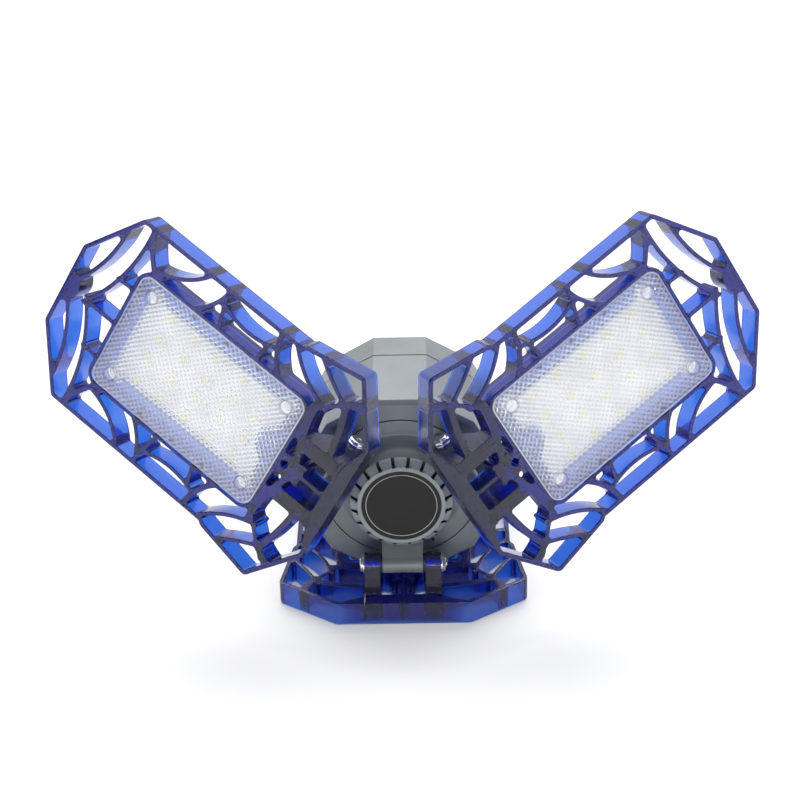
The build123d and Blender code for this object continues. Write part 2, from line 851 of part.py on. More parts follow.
leaf_parts = {
    "leaf_frame": leaf_frame,
    "led_board": led_board,
    "led_chips": led_chips,
    "board_screws": board_screws,
    "lens": lens,
    "hinge_bolt": hinge_bolt,
    "hinge_nut": hinge_nut,
    "hinge_washers": hinge_washers,
    "lead_grommet": lead_grommet,
}

os.makedirs("parts", exist_ok=True)
for name, make in head_parts.items():
    export_step(head_place * make(), f"parts/{name}.step")
for name, make in leaf_parts.items():
    shape = make()
    for side in leaf_angle:
        export_step(leaf_place(side) * shape, f"parts/{side}_{name}.step")
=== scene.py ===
import json
from math import cos, pi, radians, sin, sqrt

import bmesh
import bpy
from mathutils import Matrix, Vector


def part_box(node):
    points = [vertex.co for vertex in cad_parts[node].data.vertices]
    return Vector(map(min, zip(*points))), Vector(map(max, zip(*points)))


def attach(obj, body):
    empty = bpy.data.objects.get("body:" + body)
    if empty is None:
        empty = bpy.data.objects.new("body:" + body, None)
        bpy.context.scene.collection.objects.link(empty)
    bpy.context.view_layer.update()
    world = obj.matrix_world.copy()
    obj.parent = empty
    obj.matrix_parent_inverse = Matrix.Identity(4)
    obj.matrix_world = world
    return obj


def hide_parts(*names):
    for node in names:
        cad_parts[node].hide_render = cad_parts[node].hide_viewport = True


# A folding lamp: a grey screw-in head with three blue lattice leaves on hinges.
# Metres. X is to the right, Y runs back towards the screw base, Z is up.

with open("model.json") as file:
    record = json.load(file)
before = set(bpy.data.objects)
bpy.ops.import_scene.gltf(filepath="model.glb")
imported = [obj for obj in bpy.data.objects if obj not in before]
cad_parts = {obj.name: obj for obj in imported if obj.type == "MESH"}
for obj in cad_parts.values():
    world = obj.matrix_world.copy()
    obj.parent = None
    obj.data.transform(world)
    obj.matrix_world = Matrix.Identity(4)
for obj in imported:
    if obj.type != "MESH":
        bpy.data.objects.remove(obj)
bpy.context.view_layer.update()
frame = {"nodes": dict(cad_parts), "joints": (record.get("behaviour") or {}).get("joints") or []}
nodes = frame["nodes"]

MM = 0.001
SIDES = ("left", "right", "standing")
BOTH = (-1, 1)

# The lamp's axis and where the hinges lie round it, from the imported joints

hinge = {joint["child"][: -len("_leaf")]: joint for joint in frame["joints"]}
hinge_at = {side: Vector(hinge[side]["pos_m"]) for side in SIDES}
hinge_axis = {side: Vector(hinge[side]["axis"]).normalized() for side in SIDES}
fold_back = {side: radians(-hinge[side]["range_deg"][0]) for side in SIDES}
label_low, label_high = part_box("label_disc")
axis_height = (label_low.z + label_high.z) / 2
label_front = label_low.y


def leaf_matrix(side):
    """From a leaf's own frame to the lamp's: x out from the hinge, y across, z lit side."""
    across = hinge_axis[side]
    ahead = Vector((0, -1, 0))
    out = across.cross(ahead)
    fold = fold_back[side]
    along = out * cos(fold) - ahead * sin(fold)
    lit = along.cross(across)
    turn = Matrix((along, across, lit)).transposed().to_4x4()
    return Matrix.Translation(hinge_at[side]) @ turn


leaf_place = {side: leaf_matrix(side) for side in SIDES}

# Sizes in a leaf's own frame: heights are over the hinge's axis, and places along the
# leaf are measured from it. The board's screws are measured from the lens's middle.

BOARD_TOP = 18.6 * MM
BOARD_SCREWS = (40.0 * MM, 22.0 * MM)
LENS_MIDDLE = 69.1 * MM
LENS_SIZE = (97.0 * MM, 60.4 * MM)
LENS_CORNER = 5.5 * MM
LENS_TOP = 24.5 * MM
LENS_UNDERSIDE = 22.7 * MM
LENS_FOOT = 20.6 * MM
LENS_ROUNDING = 0.3 * MM
LENS_RIM = 0.25 * MM
SKIRT_WALL = 1.3 * MM
PRISM_PITCH = 2.02 * MM
PRISM_ROWS = 56
PRISM_DEPTH = 0.52 * MM
SLAB_THICKNESS = 5 * MM
WINDOW_RADIUS = 3.1 * MM
WINDOW_THICKNESS = 2.2 * PRISM_DEPTH
HOOKS_ALONG = (49.0 * MM, 67.5 * MM, 87.0 * MM)
HOOK_SIZE = (2.8 * MM, 1.4 * MM, 1.6 * MM)
HOOK_INSET = 0.4 * MM
HOOK_DROP = 0.6 * MM

CHIP_SIZE = (4.2 * MM, 3.6 * MM, 0.8 * MM)
CHIP_PITCH = (14.5 * MM, 11.5 * MM)
CHIP_ROWS = (5, 4)
CHIP_RIM = 0.3 * MM
WELL_CORNER = 0.5 * MM
WELL_DEPTH = 0.12 * MM
PAD_SIZE = (0.5 * MM, 0.8 * CHIP_SIZE[1], 0.2 * MM)
PAD_MIDDLE = 0.11 * MM
PAD_TAPER = (0.6, 0.85, 1)

# The screw shell's sizes. Each ring of a lip has a radius and a distance from the
# shell's open rim, in millimetres.

THREAD_PITCH = 3.62 * MM
THREAD_CREST = 13.1 * MM
THREAD_ROOT = 12.2 * MM
SHELL_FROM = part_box("screw_shell")[0].y
THREAD_FROM = SHELL_FROM + 4.4 * MM
THREAD_TO = SHELL_FROM + 21.9 * MM
SHEET_THICKNESS = 0.35 * MM
RIM_LIPS = ((13.15, 3.7), (13.2, 3.5), (13.2, 0.0))
TIP_LIPS = ((12.3, 22.3), (11.6, 23.3), (10.4, 24.1), (9.0, 24.7))
WAVE_STEPS = 10
TURN_STEPS = 48
TURNS = 8
TURNS_BEFORE = 1.5
SMOOTH_ANGLE = radians(35)

# How closely things are found and cut. LEVEL is the least cosine at which a face or an
# edge counts as upright, and PAST is how far a cutting shape runs past what it cuts.

SAME_PLACE = 1e-6
NEAR = 0.01 * MM
LEVEL = 0.9
CUT_SLACK = 0.15 * MM
PAST = 1 * MM
FOOT_PAST = 0.2 * MM
ROUND_SIDES = 32
CORNER_STEPS = 8


# Selecting, cutting, copying and joining


def deselect_all():
    if bpy.context.object and bpy.context.object.mode != "OBJECT":
        bpy.ops.object.mode_set(mode="OBJECT")
    bpy.ops.object.select_all(action="DESELECT")


def apply_modifiers(obj):
    deselect_all()
    obj.select_set(True)
    bpy.context.view_layer.objects.active = obj
    for modifier in list(obj.modifiers):
        bpy.ops.object.modifier_apply(modifier=modifier.name)


def face_test(obj, test):
    """Selects in edit mode the faces for which the test of centre and normal is true."""
    mesh = bmesh.from_edit_mesh(obj.data)
    for face in mesh.faces:
        face.select_set(test(face.calc_center_median(), face.normal))
    mesh.select_flush_mode()
    bmesh.update_edit_mesh(obj.data)


def edge_test(obj, test):
    """Selects in edit mode the edges for which the test of middle and direction is true."""
    mesh = bmesh.from_edit_mesh(obj.data)
    for edge in mesh.edges:
        edge.select_set(False)
    for edge in mesh.edges:
        first, last = (vert.co for vert in edge.verts)
        if test((first + last) / 2, (last - first).normalized()):
            edge.select_set(True)
    bmesh.update_edit_mesh(obj.data)


def cut_with(obj, tool, operation):
    """Cuts, joins or clips an object with another, which is then thrown away."""
    change = obj.modifiers.new("cut", "BOOLEAN")
    change.operation = operation
    change.object = tool
    apply_modifiers(obj)
    bpy.data.objects.remove(tool)


def copies(obj, names, places):
    """Copies of a finished piece, each with its own mesh. The piece itself goes."""
    made = []
    for name, place in zip(names, places):
        twin = obj.copy()
        twin.data = obj.data.copy()
        twin.name = name
        bpy.context.scene.collection.objects.link(twin)
        twin.data.transform(place)
        made.append(twin)
    bpy.data.objects.remove(obj)
    return made


def one_for_each_leaf(obj, kind):
    return copies(obj, [side + kind for side in SIDES], [leaf_place[side] for side in SIDES])


def joined(pieces, name):
    deselect_all()
    for piece in pieces:
        piece.select_set(True)
    bpy.context.view_layer.objects.active = pieces[0]
    bpy.ops.object.join()
    whole = bpy.context.object
    whole.name = name
    return whole


def sized_cube(name, middle, size):
    deselect_all()
    bpy.ops.mesh.primitive_cube_add(size=1, location=middle)
    cube = bpy.context.object
    cube.name = name
    cube.scale = size
    bpy.ops.object.transform_apply(location=True, rotation=True, scale=True)
    return cube


def disc(radius, middle, height):
    deselect_all()
    bpy.ops.mesh.primitive_cylinder_add(
        radius=radius, depth=height, location=middle, vertices=ROUND_SIDES
    )
    bpy.ops.object.transform_apply(location=True, rotation=True, scale=True)
    return bpy.context.object


# The prismatic lens, modelled once in the leaf's own frame


def prism_slab():
    """A flat block, wider than the lens, whose underside is a slanting field of pyramids."""
    deselect_all()
    bpy.ops.mesh.primitive_grid_add(
        x_subdivisions=PRISM_ROWS,
        y_subdivisions=PRISM_ROWS,
        size=PRISM_ROWS * PRISM_PITCH,
        location=(LENS_MIDDLE, 0, LENS_UNDERSIDE),
        rotation=(0, 0, pi / 4),
    )
    slab = bpy.context.object
    bpy.ops.object.transform_apply(location=True, rotation=True, scale=True)
    bpy.ops.object.mode_set(mode="EDIT")
    bpy.ops.mesh.select_all(action="SELECT")
    bpy.ops.mesh.extrude_region_move(TRANSFORM_OT_translate={"value": (0, 0, SLAB_THICKNESS)})
    bpy.ops.mesh.select_all(action="SELECT")
    bpy.ops.mesh.normals_make_consistent(inside=False)
    face_test(slab, lambda centre, normal: normal.z < -LEVEL)
    bpy.ops.mesh.poke(offset=PRISM_DEPTH, center_mode="MEDIAN")
    face_test(slab, lambda centre, normal: normal.z > LEVEL)
    bpy.ops.mesh.dissolve_faces()
    bpy.ops.object.mode_set(mode="OBJECT")
    return slab


def rounded_block(name, low, high, grow, corner):
    """A block on the lens's middle, so much wider than it all round, with round corners."""
    size = (LENS_SIZE[0] + 2 * grow, LENS_SIZE[1] + 2 * grow, high - low)
    block = sized_cube(name, (LENS_MIDDLE, 0, (low + high) / 2), size)
    bpy.ops.object.mode_set(mode="EDIT")
    edge_test(block, lambda middle, way: abs(way.z) > LEVEL)
    bpy.ops.mesh.bevel(offset=corner, segments=CORNER_STEPS)
    bpy.ops.object.mode_set(mode="OBJECT")
    return block


def lens_skirt():
    """The wall below the lens that stands on the pocket's ledge."""
    foot, top = LENS_FOOT - FOOT_PAST, LENS_UNDERSIDE + PAST
    skirt = rounded_block("skirt", foot, top, 2 * PAST, LENS_CORNER)
    corner = LENS_CORNER - SKIRT_WALL
    hole = rounded_block("hole", LENS_FOOT - PAST, top + PAST, -SKIRT_WALL, corner)
    cut_with(skirt, hole, "DIFFERENCE")
    return skirt


def lens_underside():
    """The prism field with its skirt, a flat window over each screw and six snap hooks."""
    slab = prism_slab()
    cut_with(slab, lens_skirt(), "UNION")
    windows = []
    for end in BOTH:
        for edge in BOTH:
            spot = (LENS_MIDDLE + end * BOARD_SCREWS[0], edge * BOARD_SCREWS[1], LENS_UNDERSIDE)
            windows.append(disc(WINDOW_RADIUS, spot, WINDOW_THICKNESS))
    cut_with(slab, joined(windows, "windows"), "UNION")
    hooks = []
    for place in HOOKS_ALONG:
        for edge in BOTH:
            across = edge * (LENS_SIZE[1] / 2 - SKIRT_WALL - HOOK_INSET)
            spot = (place, across, LENS_UNDERSIDE - HOOK_DROP)
            hooks.append(sized_cube("hook", spot, HOOK_SIZE))
    cut_with(slab, joined(hooks, "hooks"), "UNION")
    return slab


def prism_lenses(clear, rim_highlight):
    """The lens with its clear face and a whiter rim as painted highlight, one for each leaf."""
    lens = rounded_block("lens_plate", LENS_FOOT, LENS_TOP, 0, LENS_CORNER)
    lens.data.materials.append(clear)
    lens.data.materials.append(rim_highlight)
    bpy.ops.object.mode_set(mode="EDIT")
    edge_test(lens, lambda middle, way: middle.z > LENS_TOP - NEAR)
    bpy.ops.mesh.bevel(offset=LENS_ROUNDING, segments=3)
    # Painted highlight: the lens's edge and a thin ring of its top get the whiter rim material, for the
    # bright line along its rounded edge.
    face_test(lens, lambda centre, normal: centre.z > LENS_UNDERSIDE)
    lens.active_material_index = 1
    bpy.ops.object.material_slot_assign()
    face_test(lens, lambda centre, normal: centre.z > LENS_UNDERSIDE and normal.z > LEVEL)
    bpy.ops.mesh.inset(thickness=LENS_RIM)
    lens.active_material_index = 0
    bpy.ops.object.material_slot_assign()
    bpy.ops.object.mode_set(mode="OBJECT")
    slab = lens_underside()
    slab.data.materials.append(clear)
    cut_with(lens, slab, "INTERSECT")
    return one_for_each_leaf(lens, "_prism_lens")


# The light chips: a white body with a filled well and two soldered ends


def solder_pad(end, solder):
    """A flat bead of solder at one end of a chip, its top smaller than its foot."""
    pad = sized_cube("pad", (end * CHIP_SIZE[0] / 2, 0, BOARD_TOP + PAD_MIDDLE), PAD_SIZE)
    bpy.ops.object.mode_set(mode="EDIT")
    face_test(pad, lambda centre, normal: normal.z > LEVEL)
    bpy.ops.transform.resize(value=PAD_TAPER)
    bpy.ops.object.mode_set(mode="OBJECT")
    pad.data.materials.append(solder)
    return pad


def light_chip(body, phosphor, solder):
    chip = sized_cube("chip", (0, 0, BOARD_TOP + CHIP_SIZE[2] / 2), CHIP_SIZE)
    for material in (body, phosphor, solder):
        chip.data.materials.append(material)
    bpy.ops.object.mode_set(mode="EDIT")
    face_test(chip, lambda centre, normal: normal.z > LEVEL)
    bpy.ops.mesh.inset(thickness=CHIP_RIM)
    bpy.ops.mesh.bevel(offset=WELL_CORNER, segments=2, affect="VERTICES")
    bpy.ops.mesh.extrude_region_move(TRANSFORM_OT_translate={"value": (0, 0, -WELL_DEPTH)})
    chip.active_material_index = 1
    bpy.ops.object.material_slot_assign()
    bpy.ops.mesh.select_all(action="DESELECT")
    bpy.ops.object.mode_set(mode="OBJECT")
    return joined([chip] + [solder_pad(end, solder) for end in BOTH], "chip")


def chip_rows(body, phosphor, solder):
    """All the chips of a board as one piece, one for each leaf."""
    chip = light_chip(body, phosphor, solder)
    columns, rows = CHIP_ROWS
    spots = []
    for column in range(columns):
        for row in range(rows):
            along = LENS_MIDDLE + (column - (columns - 1) / 2) * CHIP_PITCH[0]
            across = (row - (rows - 1) / 2) * CHIP_PITCH[1]
            spots.append(Matrix.Translation((along, across, 0)))
    names = ["chip_" + str(number) for number in range(len(spots))]
    return one_for_each_leaf(joined(copies(chip, names, spots), "chips"), "_light_chips")


# The screw shell with a real helical thread, rolled from thin sheet


def lip(shell, cut, rings):
    """Draws the shell on from its open edge at a square cut, through round rings."""
    mesh = bmesh.from_edit_mesh(shell.data)
    for edge in mesh.edges:
        at_cut = all(abs(vert.co.z - cut) < CUT_SLACK for vert in edge.verts)
        edge.select_set(edge.is_boundary and at_cut)
    bmesh.update_edit_mesh(shell.data)
    for radius, place in rings:
        bpy.ops.mesh.extrude_region_move()
        mesh = bmesh.from_edit_mesh(shell.data)
        for vert in mesh.verts:
            if vert.select:
                flat = Vector((vert.co.x, vert.co.y, 0)).normalized() * radius * MM
                vert.co = (flat.x, flat.y, SHELL_FROM + place * MM)
        bmesh.update_edit_mesh(shell.data)


def thread_wave():
    """One wave of the thread as a line of edges, well before the thread's start."""
    start = THREAD_FROM - TURNS_BEFORE * THREAD_PITCH
    middle = (THREAD_CREST + THREAD_ROOT) / 2
    swing = (THREAD_CREST - THREAD_ROOT) / 2
    points = []
    for number in range(WAVE_STEPS + 1):
        share = number / WAVE_STEPS
        points.append((middle + swing * cos(2 * pi * share), 0, start + share * THREAD_PITCH))
    mesh = bpy.data.meshes.new("wave")
    mesh.from_pydata(points, [(number, number + 1) for number in range(WAVE_STEPS)], [])
    wave = bpy.data.objects.new("threaded_shell", mesh)
    bpy.context.scene.collection.objects.link(wave)
    return wave


def threaded_shell():
    """The wave turned along a helix, cut square at both ends and drawn in."""
    shell = thread_wave()
    helix = shell.modifiers.new("helix", "SCREW")
    helix.steps = TURN_STEPS
    helix.render_steps = TURN_STEPS
    helix.screw_offset = THREAD_PITCH
    helix.iterations = TURNS
    apply_modifiers(shell)
    bpy.ops.object.mode_set(mode="EDIT")
    bpy.ops.mesh.select_all(action="SELECT")
    bpy.ops.mesh.remove_doubles(threshold=SAME_PLACE)
    bpy.ops.mesh.bisect(plane_co=(0, 0, THREAD_FROM), plane_no=(0, 0, 1), clear_inner=True)
    bpy.ops.mesh.select_all(action="SELECT")
    bpy.ops.mesh.bisect(plane_co=(0, 0, THREAD_TO), plane_no=(0, 0, 1), clear_outer=True)
    lip(shell, THREAD_FROM, RIM_LIPS)
    lip(shell, THREAD_TO, TIP_LIPS)
    bpy.ops.mesh.select_all(action="SELECT")
    bpy.ops.mesh.remove_doubles(threshold=SAME_PLACE)
    bpy.ops.mesh.normals_make_consistent(inside=False)
    bpy.ops.object.mode_set(mode="OBJECT")
    sheet = shell.modifiers.new("sheet", "SOLIDIFY")
    sheet.thickness = SHEET_THICKNESS
    sheet.offset = -1
    apply_modifiers(shell)
    bpy.ops.object.shade_smooth_by_angle(angle=SMOOTH_ANGLE)
    shell.data.transform(Matrix.Translation((0, 0, axis_height)) @ Matrix.Rotation(-pi / 2, 4, "X"))
    return shell


# Node trees of the materials


class Graph:
    """A small helper that adds nodes to a material's or a group's tree and links them."""

    def __init__(self, tree):
        self.tree = tree

    def add(self, kind, **values):
        node = self.tree.nodes.new("ShaderNode" + kind)
        for key, value in values.items():
            setattr(node, key, value)
        return node

    def link(self, source, target):
        self.tree.links.new(source, target)

    def feed(self, target, value):
        """Links a socket, or sets a plain value."""
        if isinstance(value, bpy.types.NodeSocket):
            self.link(value, target)
        elif value is not None:
            target.default_value = value

    def math(self, operation, a, b=None, c=None):
        node = self.add("Math", operation=operation)
        for socket, value in zip(node.inputs, (a, b, c)):
            self.feed(socket, value)
        return node.outputs[0]

    def off(self, value, middle):
        """How far a value is from a middle, either way."""
        return self.math("ABSOLUTE", self.math("SUBTRACT", value, middle))

    def length(self, a, b):
        """How long a line is that goes so far one way and so far square to it."""
        squares = [self.math("MULTIPLY", part, part) for part in (a, b)]
        return self.math("SQRT", self.math("ADD", *squares))

    def mix(self, factor, a, b):
        node = self.add("Mix", data_type="RGBA")
        self.feed(node.inputs[0], factor)
        self.feed(node.inputs[6], a)
        self.feed(node.inputs[7], b)
        return node.outputs[2]

    def ramp(self, factor, *stops):
        """A colour between two stops, each a position and a colour."""
        node = self.add("ValToRGB")
        for element, (position, colour) in zip(node.color_ramp.elements, stops):
            element.position = position
            element.color = (*colour, 1)
        self.link(factor, node.inputs[0])
        return node.outputs[0]

    def step(self, value, low, high, to_low=0.0, to_high=1.0):
        """Value mapped smoothly from the range low to high."""
        node = self.add("MapRange", interpolation_type="SMOOTHSTEP")
        for socket, number in zip(node.inputs, (value, low, high, to_low, to_high)):
            self.feed(socket, number)
        return node.outputs[0]

    def fade(self, value, near, far):
        """1 up to near, and from there smoothly down to 0 at far."""
        return self.step(value, near, far, 1.0, 0.0)

    def noise(self, vector, scale, detail, roughness=0.5):
        node = self.add("TexNoise")
        self.feed(node.inputs["Vector"], vector)
        self.feed(node.inputs["Scale"], scale)
        node.inputs["Detail"].default_value = detail
        node.inputs["Roughness"].default_value = roughness
        return node.outputs["Fac"]

    def split(self, vector):
        node = self.add("SeparateXYZ")
        self.link(vector, node.inputs[0])
        return node.outputs

    def place(self, leaf=None, shift=(0, 0, 0)):
        """Object coordinates in metres, turned into the frame of a leaf if one is given."""
        vector = self.add("TexCoord").outputs["Object"]
        if leaf is not None:
            turn = self.add("Mapping", vector_type="TEXTURE")
            turn.inputs["Location"].default_value = leaf.to_translation()
            turn.inputs["Rotation"].default_value = leaf.to_euler()
            self.link(vector, turn.inputs["Vector"])
            vector = turn.outputs[0]
        moved = self.add("Mapping", vector_type="POINT")
        moved.inputs["Location"].default_value = shift
        self.link(vector, moved.inputs["Vector"])
        return moved.outputs[0]


def new_group(name, inputs, outputs):
    """An empty group: a vector and numbers go in, and numbers come out."""
    tree = bpy.data.node_groups.new(name, "ShaderNodeTree")
    tree.interface.new_socket("Vector", in_out="INPUT", socket_type="NodeSocketVector")
    for socket in inputs:
        tree.interface.new_socket(socket, in_out="INPUT", socket_type="NodeSocketFloat")
    for socket in outputs:
        tree.interface.new_socket(socket, in_out="OUTPUT", socket_type="NodeSocketFloat")
    return Graph(tree), tree.nodes.new("NodeGroupInput"), tree.nodes.new("NodeGroupOutput")


# The shared surface effects. Ranges are of a noise's value, and turns are in radians.

SPECK_SCALE = 0.35
SPECK_RANGE = (0.62, 0.74)
SCUFF_RANGE = (0.66, 0.74)
SCUFF_TURNS = ((0.4, 0.3, 0.9), (1.1, 0.5, 0.2))
SCUFF_STRETCHES = ((40, 900, 400), (700, 60, 500))


def grain_group():
    """Fine surface grain, slow clouding and small specks. Size and Cloud are lengths."""
    graph, start, end = new_group("surface_grain", ["Size", "Cloud"], ["Height", "Cloud", "Speck"])
    vector = start.outputs["Vector"]
    fine = graph.math("DIVIDE", 1.0, start.outputs["Size"])
    slow = graph.math("DIVIDE", 1.0, start.outputs["Cloud"])
    speck = graph.noise(vector, graph.math("MULTIPLY", fine, SPECK_SCALE), detail=1.0)
    graph.feed(end.inputs["Height"], graph.noise(vector, fine, detail=3.0, roughness=0.6))
    graph.feed(end.inputs["Cloud"], graph.noise(vector, slow, detail=4.0, roughness=0.55))
    graph.feed(end.inputs["Speck"], graph.step(speck, *SPECK_RANGE))
    return graph.tree


def scuff_group():
    """Hair-fine scuffs from handling, as lines in two slanting directions."""
    graph, start, end = new_group("handling_scuffs", ["Amount"], ["Mask"])
    lines = []
    for turn, stretch in zip(SCUFF_TURNS, SCUFF_STRETCHES):
        mapping = graph.add("Mapping", vector_type="POINT")
        mapping.inputs["Rotation"].default_value = turn
        mapping.inputs["Scale"].default_value = stretch
        graph.link(start.outputs["Vector"], mapping.inputs["Vector"])
        lines.append(graph.step(graph.noise(mapping.outputs[0], 1.0, detail=1.0), *SCUFF_RANGE))
    both = graph.math("MAXIMUM", *lines)
    graph.feed(end.inputs["Mask"], graph.math("MULTIPLY", both, start.outputs["Amount"]))
    return graph.tree


# The painted shade in the lens. A dot's range is in shares of a prism, and the edge's in shares
# of the way from the lens's middle to its edge.

DOT_RANGE = (0.27, 0.4)
EDGE_RANGE = (0.45, 1.0)
DOTS_AT_MIDDLE = 0.22
WINDOW_FADE = 0.2 * MM
RIM_MARK_RANGE = (0.15 * MM, 0.5 * MM)
HOOK_MARK_INSET = 2.3 * MM
HOOK_MARK_ALONG = (0.8 * MM, 1.4 * MM)
HOOK_MARK_ACROSS = (0.5 * MM, 0.9 * MM)


def prism_group():
    """Painted shade for the lens's prisms, as dark dots, and painted shade as marks round its windows
    and at its hooks.
    """
    graph, start, end = new_group("prism_shade", [], ["Dots", "Marks"])
    split = graph.split(start.outputs["Vector"])
    along, across = split["X"], split["Y"]
    off_cell = []
    for operation in ("ADD", "SUBTRACT"):
        slant = graph.math("DIVIDE", graph.math(operation, along, across), PRISM_PITCH * sqrt(2))
        off_cell.append(graph.math("SUBTRACT", graph.math("FRACT", slant), 0.5))
    dot = graph.fade(graph.length(*off_cell), *DOT_RANGE)
    far_along, far_across = graph.math("ABSOLUTE", along), graph.math("ABSOLUTE", across)
    share_along = graph.math("DIVIDE", far_along, LENS_SIZE[0] / 2)
    share_across = graph.math("DIVIDE", far_across, LENS_SIZE[1] / 2)
    edge = graph.step(graph.math("MAXIMUM", share_along, share_across), *EDGE_RANGE, DOTS_AT_MIDDLE, 1.0)
    from_screw = graph.length(
        graph.math("SUBTRACT", far_along, BOARD_SCREWS[0]),
        graph.math("SUBTRACT", far_across, BOARD_SCREWS[1]),
    )
    outside = graph.step(from_screw, WINDOW_RADIUS - WINDOW_FADE, WINDOW_RADIUS)
    shaded_dots = graph.math("MULTIPLY", graph.math("MULTIPLY", dot, edge), outside)
    marks = graph.fade(graph.off(from_screw, WINDOW_RADIUS), *RIM_MARK_RANGE)
    for place in HOOKS_ALONG:
        beside = graph.fade(graph.off(along, place - LENS_MIDDLE), *HOOK_MARK_ALONG)
        level = graph.fade(graph.off(far_across, LENS_SIZE[1] / 2 - HOOK_MARK_INSET), *HOOK_MARK_ACROSS)
        marks = graph.math("MAXIMUM", marks, graph.math("MULTIPLY", beside, level))
    graph.feed(end.inputs["Dots"], shaded_dots)
    graph.feed(end.inputs["Marks"], marks)
    return graph.tree


surface_grain = grain_group()
handling_scuffs = scuff_group()
prism_shade = prism_group()

# Values of the clouding between which roughness and colour change. The powder coat, the
# moulded parts and metal have narrower ranges for their colour.

CLOUD_RANGE = (0.3, 0.7)
SOFT_CLOUD_RANGE = (0.35, 0.65)
METAL_CLOUD_RANGE = (0.35, 0.6)


class Finish(Graph):
    """A material with one Principled shader and the shared effects on it."""

    def __init__(self, name):
        self.material = bpy.data.materials.new(name)
        self.material.use_nodes = True
        super().__init__(self.material.node_tree)
        self.tree.nodes.clear()
        self.shader = self.add("BsdfPrincipled")
        self.output = self.add("OutputMaterial")
        self.link(self.shader.outputs[0], self.output.inputs[0])

    def set(self, **values):
        """Sets or links the shader's sockets: base_color sets Base Color, and so on."""
        for key, value in values.items():
            socket = self.shader.inputs[key.replace("_", " ").title().replace("Ior", "IOR")]
            if isinstance(value, tuple) and len(value) == 3:
                value = (*value, 1)
            self.feed(socket, value)

    def group(self, tree, **values):
        node = self.add("Group", node_tree=tree)
        for key, value in values.items():
            self.feed(node.inputs[key.title()], value)
        return node.outputs

    def skin(self, vector, size, cloud, depth, strength):
        """Gives the surface its fine grain as a bump, and hands back the grain's outputs."""
        grain = self.group(surface_grain, vector=vector, size=size, cloud=cloud)
        bump = self.add("Bump")
        bump.inputs["Strength"].default_value = strength
        bump.inputs["Distance"].default_value = depth
        self.link(grain["Height"], bump.inputs["Height"])
        self.set(normal=bump.outputs[0])
        return grain

    def clouded(self, grain, dark, light, within):
        """A colour that drifts between two with the grain's clouding."""
        return self.ramp(grain["Cloud"], (within[0], dark), (within[1], light))

    def drifting(self, grain, low, high):
        """A number that drifts between two with the grain's clouding."""
        return self.step(grain["Cloud"], *CLOUD_RANGE, low, high)

    def scuffed(self, vector, amount, change, rough):
        """A roughness that the handling scuffs change by so much."""
        mask = self.group(handling_scuffs, vector=vector, amount=amount)["Mask"]
        return self.math("MULTIPLY_ADD", mask, change, rough)

    def let_light_through(self, colour):
        """Lets the lamps' light and soft light pass straight through a clear piece."""
        paths = self.add("LightPath")
        passing = self.math("MAXIMUM", paths.outputs["Is Shadow Ray"], paths.outputs["Is Diffuse Ray"])
        through = self.add("BsdfTransparent")
        through.inputs["Color"].default_value = colour
        mixed = self.add("MixShader")
        self.link(passing, mixed.inputs[0])
        self.link(self.shader.outputs[0], mixed.inputs[1])
        self.link(through.outputs[0], mixed.inputs[2])
        self.link(mixed.outputs[0], self.output.inputs[0])


def shades(base, darker, lighter):
    """A darker and a lighter shade of a colour."""
    return tuple(part * darker for part in base), tuple(min(1.0, part * lighter) for part in base)


# The grey powder coat, with painted shade in the cap's slots

SLOT_STEP = radians(18)
SLOT_HALF = 0.7 * MM
SLOT_INNER = 20.0 * MM
SLOT_FADE = 0.1 * MM
SLOT_PAINTED_SHADE = (0.012, 0.012, 0.013, 1)
SPECK_SHARE = 0.18


def slot_shadow(finish):
    """Where the cap's slots are: the mask for painted shade of the dark inside seen through them."""
    split = finish.split(finish.place(shift=(0, 0, -axis_height)))
    radius = finish.length(split["X"], split["Z"])
    angle = finish.math("ARCTAN2", split["Z"], split["X"])
    turn = finish.math("FLOORED_MODULO", angle, SLOT_STEP)
    off_slot = finish.math("MULTIPLY", finish.off(turn, SLOT_STEP / 2), radius)
    beside = finish.fade(off_slot, SLOT_HALF, SLOT_HALF + SLOT_FADE)
    outside = finish.step(radius, SLOT_INNER - SLOT_FADE, SLOT_INNER)
    return finish.math("MULTIPLY", beside, outside)


def grey_powder_coat(name, base, size, slots=False):
    """Satin powder coat: an orange-peel skin with faint clouding."""
    finish = Finish(name)
    vector = finish.place()
    grain = finish.skin(vector, size, cloud=30 * MM, depth=0.06 * MM, strength=0.6)
    dark, light = shades(base, darker=0.86, lighter=1.08)
    colour = finish.clouded(grain, dark, light, SOFT_CLOUD_RANGE)
    colour = finish.mix(finish.math("MULTIPLY", grain["Speck"], SPECK_SHARE), colour, (*dark, 1))
    # Painted shade: the cap's slots are coloured near black, for the dark inside seen through them.
    if slots:
        colour = finish.mix(slot_shadow(finish), colour, SLOT_PAINTED_SHADE)
    rough = finish.drifting(grain, low=0.40, high=0.50)
    rough = finish.scuffed(vector, amount=0.35, change=-0.2, rough=rough)
    finish.set(base_color=colour, roughness=rough, metallic=0.25)
    finish.set(coat_weight=0.12, coat_roughness=0.25)
    return finish.material


# The leaves' plastic: a dye that absorbs light in depth, and a blue tint of the surface

DYE_COLOUR = (0.30, 0.67, 0.912, 1)
DYE_DENSITY = 1700
BLUE_TINTS = ((0.51, 0.55, 0.97), (0.59, 0.63, 1.0))
BLUE_SHADOW = (0.28, 0.38, 0.78, 1)


